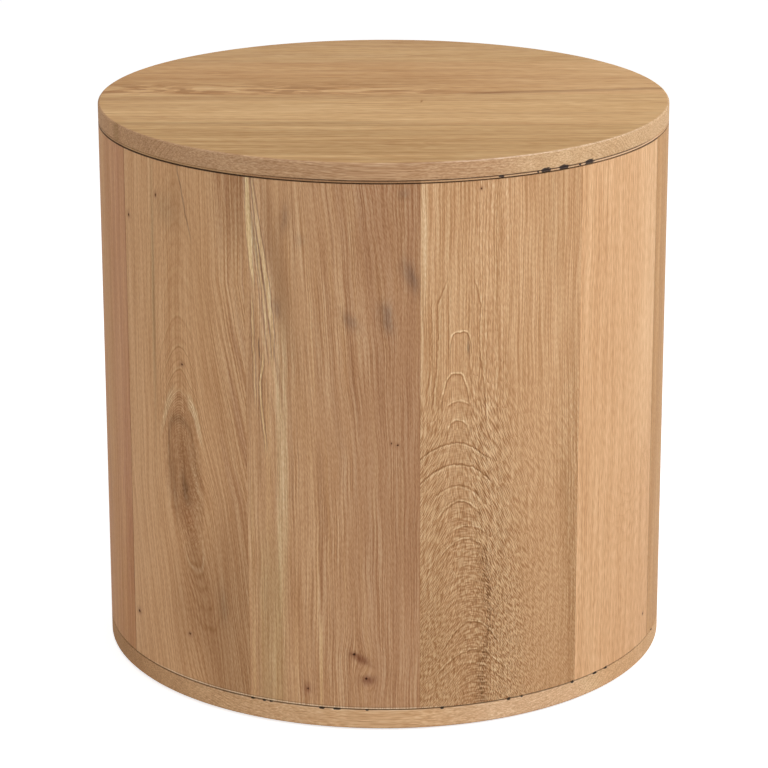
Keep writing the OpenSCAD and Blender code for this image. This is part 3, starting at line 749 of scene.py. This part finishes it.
def top_back_middle(oak, x, y, z):
    """Figured streak on the left and a dark slanting streak on the right."""
    p = oak.p
    swirl = p.noise((x * 0.016, y * 0.05, 3), detail=2, swirl=1.6)
    zone = line_at(p, y - 26, 30) * p.step(x, 95, 10)
    oak.tint(zone * p.step(swirl, 0.54, 0.6) * 0.72, 0xE0B886)
    oak.tint(zone * p.step(swirl, 0.5, 0.43) * 0.7, 0xA07246)
    line = y - (11 + (x - 78) * 0.115) + (p.noise((x * 0.02, 0, 2)) - 0.5) * 8
    body = p.step(line, -11, -1) * p.step(line, 6, 2)
    oak.tint(body * p.step(x, 62, 110) * 0.92, 0x87592F)
    haze = line_at(p, line + 6, 14) * p.between(x, -60, 150, 80)
    oak.tint(haze * 0.25, 0xA87C50)
    oak.tint(p.step(x, 60, 190) * 0.45, 0xDDB483)
    oak.tint(p.step(y, 85, 125) * 0.2, 0xE0B784)
    oak.tint(p.between(y, 40, 85, 15) * p.step(x, 130, 20) * 0.2, 0xA37849)


def top_front_middle(oak, x, y, z):
    """Two brown bands on the left and a small dark nick."""
    p = oak.p
    oak.tint(line_at(p, y - 2 - x * 0.05, 12) * p.step(x, 90, -20) * 0.4, 0xAA7F52)
    oak.tint(line_at(p, y + 119, 8) * p.step(x, 80, -40) * 0.5, 0x9E7A4C)
    oak.darken(patch(p, x, y, (37, -25), (0.9, 4.5), lean=0.1), 0.5, dent=1)


def top_front(oak, x, y, z):
    """A faint swirl in the middle."""
    p = oak.p
    swirl = p.noise((x * 0.014, y * 0.05, 5), detail=2, swirl=1.2)
    zone = patch(p, x, y, (30, -215), (120, 40))
    oak.darken(zone * p.step(swirl, 0.5, 0.6), 0.12)


def upright_oak(name, pale, dark, seed):
    """Solid oak whose grain runs upwards, as the jambs and stiles are."""
    p = Paint(name)
    x, y, z = p.object_place()
    oak = Oak(p, pale, dark, grain(p, x + y * 0.35, z, y - x * 0.35, seed), weights=(0.16, 0.18, 0.08))
    ring = p.sqrt(p.power(x + seed * 9, 2) + p.power(y - 140, 2)) + z * 0.015
    oak.darken(rings(p, ring / 4.5), 0.12, dent=0.3)
    ends = p.noise((x * 0.9, y * 0.9, 1), detail=2)
    oak.darken(p.step(ends, 0.5, 0.62), 0.05)
    return oak.finish()


def level_oak(name, pale, dark, seed):
    """Solid oak whose grain runs from left to right, as the shelf's edge is."""
    p = Paint(name)
    x, y, z = p.object_place()
    oak = Oak(p, pale, dark, grain(p, z + y * 0.4, x, y, seed), weights=(0.16, 0.18, 0.08))
    straight_rings(oak, z + x * 0.02, 4, 0.1, seed)
    return oak.finish()


# ---------------------------------------------------------------- plywood

PLY_MM = 1.5


def plywood(name, place, seed):
    """Oak-faced plywood. place gives the depth through the plies, both ways along the face, and a share of
    painted shade.
    """
    p = Paint(name)
    depth, across, lengthwise, stain_and_shade = place(p)
    count = depth / PLY_MM
    odd = p.step(p.fract(count * 0.5), 0.49, 0.51)
    glue = line_at(p, p.abs(p.fract(count) - 0.5) - 0.5, 0.05)
    oak = Oak(p, 0xD6AE80, 0xC99E70, grain(p, across, lengthwise, depth, seed), weights=(0.12, 0.14, 0.06))
    straight_rings(oak, across, 5.2, 0.07, seed)
    crossed = p.noise((lengthwise * 0.5, across * 0.05, depth * 2), detail=2)
    oak.tint(odd * 0.75, 0xBC9468)
    oak.darken(odd * p.step(crossed, 0.45, 0.62), 0.16, dent=0.4)
    oak.tint(glue * 0.55, 0x6E4E34)
    # Painted shade, where the place gives it.
    if stain_and_shade is not None:
        oak.tint(stain_and_shade, 0x2A1C13)
    return oak.finish(rough=0.5, gloss=0.25)


def curved_plies(p):
    """Plies bent round the drum's axis. The slot under the lip gets painted shade."""
    along, up, out = p.wall_place(0)
    # Painted shade in the kerf's slot under the lip.
    slot_shade = p.step(out, -4.2, -3.6) * p.step(up, WALL_HIGH - 1.2, WALL_HIGH - 0.2)
    return out + 21.6, along, up, slot_shade


def level_plies(low):
    """Plies that lie flat, from a height upwards."""
    def place(p):
        x, y, z = p.object_place()
        return z - (low - 0.6), y, x, None
    return place


# ---------------------------------------------------------------- metal, nylon and felt

def metal(name, pale, dark, seed, rough, scratch=1):
    """Plated or drawn metal: fine turning marks, faint stains and handling wear."""
    p = Paint(name)
    x, y, z = p.object_place()
    stain_and_shade = p.noise((x * 0.12 + seed, y * 0.12, z * 0.12), detail=3, rough=0.6)
    lines = p.noise((x * 0.5 + seed, y * 0.5, z * 6), detail=2)
    grit = p.noise((x * 3, y * 3, z * 3 + seed), detail=2)
    colour = p.mix(p.step(stain_and_shade, 0.35, 0.7), tone(pale), tone(dark))
    shine = (stain_and_shade - 0.5) * 0.25 + (lines - 0.5) * 0.14 * scratch + rough
    return p.done(colour, shine, lines * scratch + grit * 0.4, 0.012, Metallic=1)


def nylon(name):
    """Moulded nylon, with scuffs from the floor."""
    p = Paint(name)
    x, y, z = p.object_place()
    grit = p.noise((x * 1.4, y * 1.4, z * 1.4), detail=3)
    scuff = p.noise((x * 0.9, y * 0.16, z * 0.9), detail=2)
    worn = p.step(z, 1.5, 0.2) * p.step(scuff, 0.45, 0.65)
    colour = p.mix(worn * 0.7, tone(0x4A4038), tone(0x7C7064))
    return p.done(p.shade(colour, grit * 0.3 + 0.85), worn * 0.2 + 0.48, grit, 0.04, Specular_IOR_Level=0.4)


def felt(name):
    """Pressed wool felt: a tangle of short fibres."""
    p = Paint(name)
    x, y, z = p.object_place()
    tangle = p.noise((x * 1.6, y * 1.6, z * 1.6), detail=4, rough=0.7, swirl=2.5)
    tuft = p.noise((x * 0.45, y * 0.45, z * 0.45), detail=2)
    colour = p.mix(p.step(tangle, 0.3, 0.7), tone(0x5E5348), tone(0x8D7F70))
    return p.done(p.shade(colour, tuft * 0.3 + 0.85), 0.94, tangle + tuft * 0.5, 0.35,
                  Specular_IOR_Level=0.1, Sheen_Weight=0.35, Sheen_Roughness=0.5)


# ---------------------------------------------------------------- painting

def dress(name, material):
    data = nodes[name].data
    data.materials.clear()
    data.materials.append(material)


def paint_leaves():
    leaves = {
        "shell_leaf_1": leaf_a("oak_leaf_a"),
        "door_leaf_1": leaf_b("oak_leaf_b"),
        "door_leaf_2": leaf_c("oak_leaf_c"),
        "door_leaf_3": leaf_d("oak_leaf_d"),
        "door_leaf_4": leaf_e("oak_leaf_e"),
        "lip_ring": lip("oak_lip"),
    }
    plain = [(0xC9996F, 0xB48460, 51.3), (0xD3A97B, 0xBE9064, 63.9), (0xD9AE85, 0xC69C70, 77.7),
             (0xCDA074, 0xB88A60, 88.1), (0xCA9E74, 0xB68862, 97.3), (0xCDA172, 0xBB8C5D, 109.9)]
    for i, (pale, dark, seed) in enumerate(plain, start=2):
        start = DOOR_LEFT - LEAF_TURN * i
        end = start + LEAF_TURN
        start = max(start, DOOR_RIGHT - 360)
        leaves[f"shell_leaf_{i}"] = leaf_plain(f"oak_leaf_{i}", (start + end) / 2,
                                               (end - start) / 2 * MM_PER_DEG, pale, dark, seed)
    for name, material in leaves.items():
        dress(name, material)


def paint_boards():
    boards = {
        "top_board_back": top_board("oak_top_back", 0xD2A976, 0xC1976A, 3.3, pith=(230, -90)),
        "top_board_back_middle": top_board("oak_top_back_middle", 0xCFA270, 0xBC8D5E, 7.9, pith=(90, -70),
                                           extra=top_back_middle),
        "top_board_front_middle": top_board("oak_top_front_middle", 0xD8AF7C, 0xC69C6C, 13.1,
                                            pith=(-60, 640), extra=top_front_middle),
        "top_board_front": top_board("oak_top_front", 0xCFA674, 0xB8905F, 19.7, pith=(-266, 476),
                                     tilt=0.06, extra=top_front, spots=LIP_SPECKS[2:5]),
        "base_board_back": base_board("oak_base_back", 0xCFA476, 0xBB8E62, 23.9, pith=(200, -70)),
        "base_board_back_middle": base_board("oak_base_back_middle", 0xCBA070, 0xB78A5E, 31.1,
                                             pith=(60, 90)),
        "base_board_front_middle": base_board("oak_base_front_middle", 0xCFA676, 0xBC9062, 37.3,
                                              pith=(-50, -60), spots=LOW_SPECKS[-2:]),
        "base_board_front": base_board("oak_base_front", 0xD8AE80, 0xC59A6E, 43.7, pith=(-258, 82),
                                       tilt=0.04, spots=LOW_SPECKS[:-2]),
    }
    for name, material in boards.items():
        dress(name, material)


def paint_inside():
    dress("shell_core", plywood("plywood_shell", curved_plies, 5.1))
    dress("door_core", plywood("plywood_door", curved_plies, 6.3))
    dress("inner_deck", plywood("plywood_deck", level_plies(BASE_HIGH), 7.7))
    dress("shelf", plywood("plywood_shelf", level_plies(SHELF_LOW), 8.9))
    dress("sub_top", plywood("plywood_sub_top", level_plies(SUB_TOP_LOW), 9.1))
    for i, name in enumerate(("hinge_jamb", "closing_jamb", "hinge_stile", "closing_stile", "stop_rail")):
        dress(name, upright_oak("oak_" + name, 0xCDA073, 0xBA8C61, 2.3 + i * 1.7))
    dress("shelf_edge", level_oak("oak_shelf_edge", 0xCFA275, 0xBC8F64, 4.9))


def paint_fittings():
    zinc = metal("zinc_steel", 0xC9CBCC, 0xA3A7A9, 1.1, rough=0.34)
    plate = metal("plate_steel", 0xC4C7C9, 0x9FA4A8, 2.7, rough=0.26)
    nickel = metal("magnet_nickel", 0xD0CCC4, 0xB4B0A8, 3.9, rough=0.18, scratch=0.5)
    brass = metal("brass", 0xD9B36A, 0xB58A48, 5.3, rough=0.28)
    for material, names in [
            (zinc, "top_screws base_screws glide_screws rail_screws strike_screws shelf_pins"),
            (plate, "upper_pivot_pin lower_pivot_pin strike_plates"), (nickel, "catch_magnets"),
            (brass, "upper_bush lower_bush thrust_washer"),
            (nylon("nylon"), "glides"), (felt("felt"), "bumper_pads")]:
        for name in names.split():
            dress(name, material)


# ---------------------------------------------------------------- stage

def area_light(name, at, aim, size, power):
    data = bpy.data.lights.new(name, "AREA")
    data.shape = "RECTANGLE"
    data.size, data.size_y = size
    data.energy = power
    lamp = bpy.data.objects.new(name, data)
    bpy.context.scene.collection.objects.link(lamp)
    lamp.location = at
    lamp.rotation_mode = "QUATERNION"
    lamp.rotation_quaternion = (Vector(aim) - Vector(at)).to_track_quat("-Z", "Y")


def polar(turn, distance, height):
    """A place round the drum: an angle from the front towards the right, in metres."""
    a = math.radians(turn)
    return (distance * math.sin(a), -distance * math.cos(a), height)


def make_lights():
    middle = (0, 0, 0.28)
    area_light("key", polar(56, 2.6, 1.9), middle, (1.8, 1.8), 53)
    area_light("fill", polar(-45, 3, 1.4), middle, (2.2, 2.2), 24)
    area_light("overhead", (0.1, 0.2, 2.6), middle, (2.2, 2.2), 15)


def seen_share(p):
    """1 for what the camera sees, straight or in a gloss or through glass, and 0 for light on the object."""
    rays = p.node("ShaderNodeLightPath").outputs
    camera, glossy, through = [Num(p, rays[f"Is {kind} Ray"])
                               for kind in ("Camera", "Glossy", "Transmission")]
    return p.high(p.high(camera, glossy), through)


def grey(value):
    return value, value, value, 1


def make_world():
    world = bpy.data.worlds.new("studio")
    bpy.context.scene.world = world
    p = Paint(world)
    dim = p.num("ShaderNodeBackground", {"Color": grey(WORLD_GREY), "Strength": WORLD_LIGHT})
    white = p.num("ShaderNodeBackground", {"Color": grey(1), "Strength": 1})
    p.node("ShaderNodeOutputWorld", {0: p.num("ShaderNodeMixShader", {0: seen_share(p), 1: dim, 2: white})})


def make_floor():
    """A round pale floor. The camera sees it white, with the drum's soft shadow kept on it."""
    mesh = bpy.data.meshes.new("floor")
    bm = bmesh.new()
    bmesh.ops.create_circle(bm, cap_ends=True, radius=FLOOR_RADIUS, segments=96)
    bm.to_mesh(mesh)
    bm.free()
    floor = bpy.data.objects.new("floor", mesh)
    bpy.context.scene.collection.objects.link(floor)
    floor.location.z = -0.0002
    p = Paint("floor")
    body = p.num("ShaderNodeBsdfDiffuse", {"Color": grey(FLOOR_GREY)})
    glow = p.num("ShaderNodeEmission", {"Strength": seen_share(p) * FLOOR_GLOW})
    p.node("ShaderNodeOutputMaterial", {0: p.num("ShaderNodeAddShader", {0: body, 1: glow})})
    mesh.materials.append(p.owner)


def make_camera():
    """The photograph's view: long lens, sixteen degrees down, with a small shift and roll."""
    frame_px, focal_px, centre_px = 768, 3078.41, (383.938, 300)
    distance, height, pitch, roll = 10.57584 * DRUM_M, 4.29737 * DRUM_M + 0.002, 0.28335, -0.00188
    data = bpy.data.cameras.new("camera")
    data.sensor_width = 36
    data.lens = focal_px / frame_px * data.sensor_width
    data.shift_x = (frame_px / 2 - centre_px[0]) / frame_px
    data.shift_y = (centre_px[1] - frame_px / 2) / frame_px
    data.clip_start, data.clip_end = 0.1, 60
    camera = bpy.data.objects.new("camera", data)
    bpy.context.scene.collection.objects.link(camera)
    camera.location = (0, -distance, height)
    camera.rotation_mode = "QUATERNION"
    tilt = Quaternion((1, 0, 0), math.pi / 2 - pitch)
    camera.rotation_quaternion = tilt @ Quaternion((0, 0, 1), roll)
    bpy.context.scene.camera = camera


make_camera()
make_world()
make_floor()
make_lights()
paint_leaves()
paint_boards()
paint_inside()
paint_fittings()

bpy.context.scene.view_settings.view_transform = "Standard"
